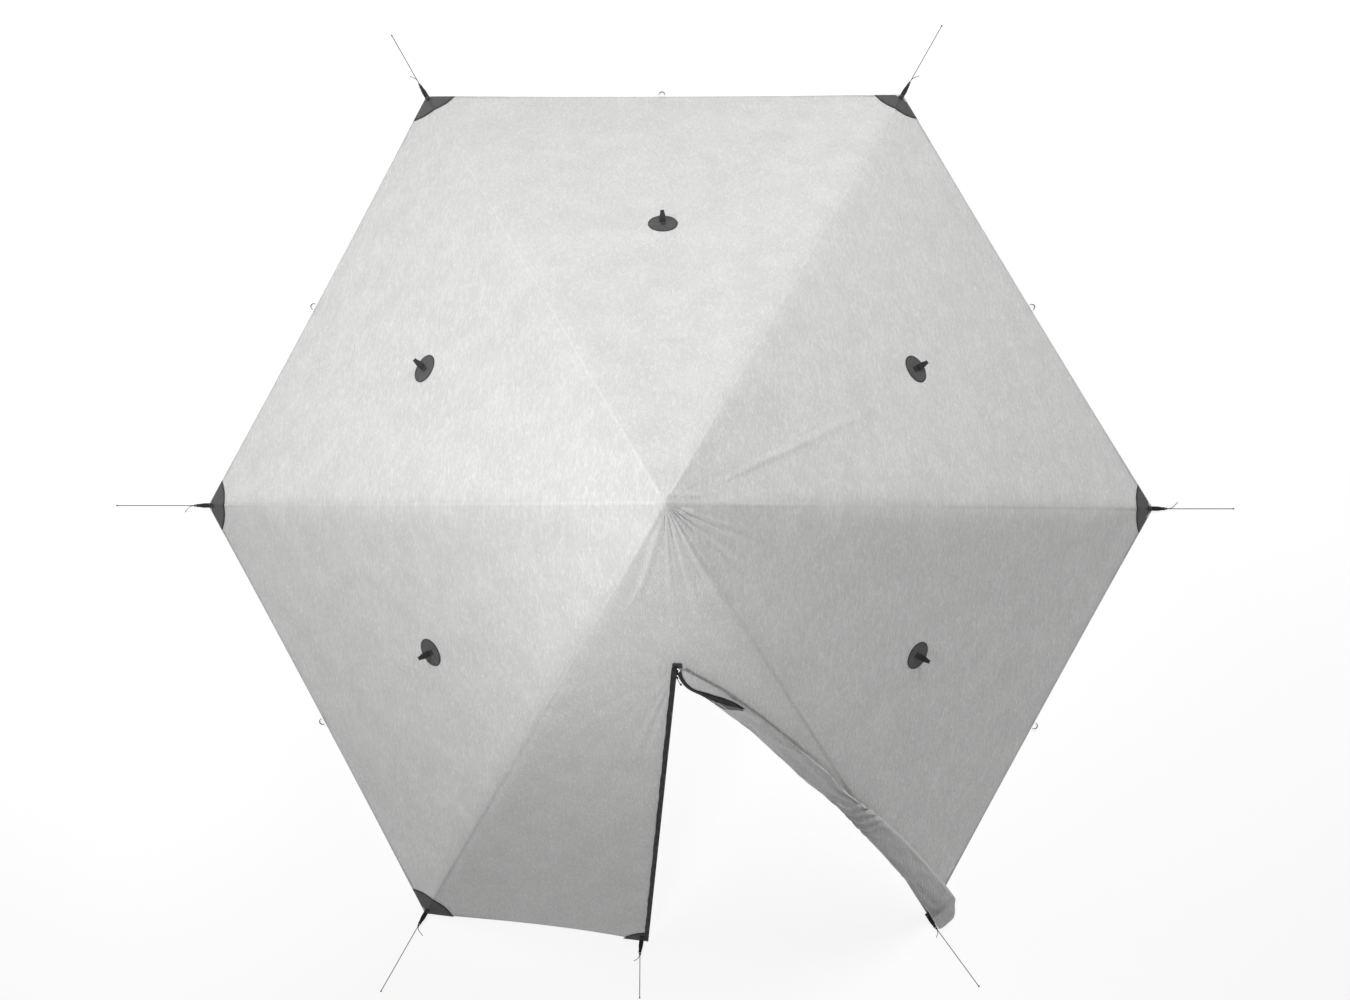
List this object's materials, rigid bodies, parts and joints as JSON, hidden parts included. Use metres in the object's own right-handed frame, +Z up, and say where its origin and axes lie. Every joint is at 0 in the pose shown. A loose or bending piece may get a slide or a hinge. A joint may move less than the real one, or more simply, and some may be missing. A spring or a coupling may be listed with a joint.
{
  "type": "teepee tent",
  "caption": "Six-sided pyramid tent of translucent laminate on one telescoping centre pole, with its zipped door rolled back and short guylines at its corners.",
  "frame": {"origin": "centre of the sole of the pole foot, on the ground plane that the hem stands on", "axes": "+Z up along the pole; -Y out of the door wall; +X across the door, so that the rolled door lies on the +X side of the doorway"},
  "size_m": [4.2456, 3.6966, 1.9],
  "materials": {
    "alloy": "satin anodised tube",
    "clamp_plastic": "black moulded plastic",
    "cord": "thin black braided cord",
    "laminate": "translucent white-grey laminate with fine crinkles and a soft sheen",
    "patch_fabric": "matt dark grey reinforcement fabric",
    "rubber": "black rubber",
    "slider_metal": "black coated metal",
    "webbing": "black woven webbing",
    "zip_nylon": "black nylon coil",
    "zip_tape": "black woven zip tape"
  },
  "bodies": {
    "canopy": {"clamp_pin": "alloy", "front_panel_left": "laminate", "front_panel_right": "laminate", "guyline_door": "cord", "guyline_front_left": "cord", "guyline_front_right": "cord", "guyline_left": "cord", "guyline_rear_left": "cord", "guyline_rear_right": "cord", "guyline_right": "cord", "hem_loop_front_left": "webbing", "hem_loop_front_right": "webbing", "hem_loop_rear": "webbing", "hem_loop_rear_left": "webbing", "hem_loop_rear_right": "webbing", "patch_door": "patch_fabric", "patch_front_left": "patch_fabric", "patch_front_right": "patch_fabric", "patch_left": "patch_fabric", "patch_rear_left": "patch_fabric", "patch_rear_right": "patch_fabric", "patch_right": "patch_fabric", "peak_cap": "laminate", "pole_clamp": "clamp_plastic", "pole_cup": "rubber", "pole_upper": "alloy", "pull_out_loop_front_left": "webbing", "pull_out_loop_front_right": "webbing", "pull_out_loop_rear": "webbing", "pull_out_loop_rear_left": "webbing", "pull_out_loop_rear_right": "webbing", "pull_out_patch_front_left": "patch_fabric", "pull_out_patch_front_right": "patch_fabric", "pull_out_patch_rear": "patch_fabric", "pull_out_patch_rear_left": "patch_fabric", "pull_out_patch_rear_right": "patch_fabric", "stake_loop_door": "webbing", "stake_loop_front_left": "webbing", "stake_loop_front_right": "webbing", "stake_loop_left": "webbing", "stake_loop_rear_left": "webbing", "stake_loop_rear_right": "webbing", "stake_loop_right": "webbing", "wall_front_left": "laminate", "wall_front_right": "laminate", "wall_rear": "laminate", "wall_rear_left": "laminate", "wall_rear_right": "laminate", "zip_coil_left": "zip_nylon", "zip_tape_left": "zip_tape", "zip_top_stay": "patch_fabric"},
    "pole_lower": {"pole_lower": "alloy", "pole_foot": "rubber"},
    "clamp_lever": {"clamp_lever": "clamp_plastic"},
    "zip_slider": {"zip_slider": "slider_metal"},
    "zip_pull": {"zip_pull": "cord"},
    "rolled_door": {"rolled_door": "laminate", "zip_tape_right": "zip_tape", "zip_facing": "patch_fabric", "door_tie": "laminate"}
  },
  "joints": [
    {"name": "pole_telescope", "type": "slide", "parent": "canopy", "child": "pole_lower", "axis": [0, 0, 1], "range_m": [0, 0.7]},
    {"name": "clamp_lever_hinge", "type": "hinge", "parent": "canopy", "child": "clamp_lever", "pos_m": [0.0226, 0, 0.9], "axis": [0, 0, 1], "range_deg": [0, 110]},
    {"name": "zip_run", "type": "slide", "parent": "canopy", "child": "zip_slider", "axis": [-0.0603, -0.6573, -0.7512], "range_m": [0, 1.738]},
    {"name": "zip_pull_swing", "type": "hinge", "parent": "zip_slider", "child": "zip_pull", "pos_m": [0.0308, -0.50686, 1.33927], "axis": [-0.9938, 0.1101, -0.0165], "range_deg": [0, 160]},
    {"name": "door_roll_swing", "type": "hinge", "parent": "canopy", "child": "rolled_door", "pos_m": [0.03272, -0.48735, 1.354], "axis": [0.4834, -0.5494, -0.6815], "range_deg": [0, 150]}
  ]
}
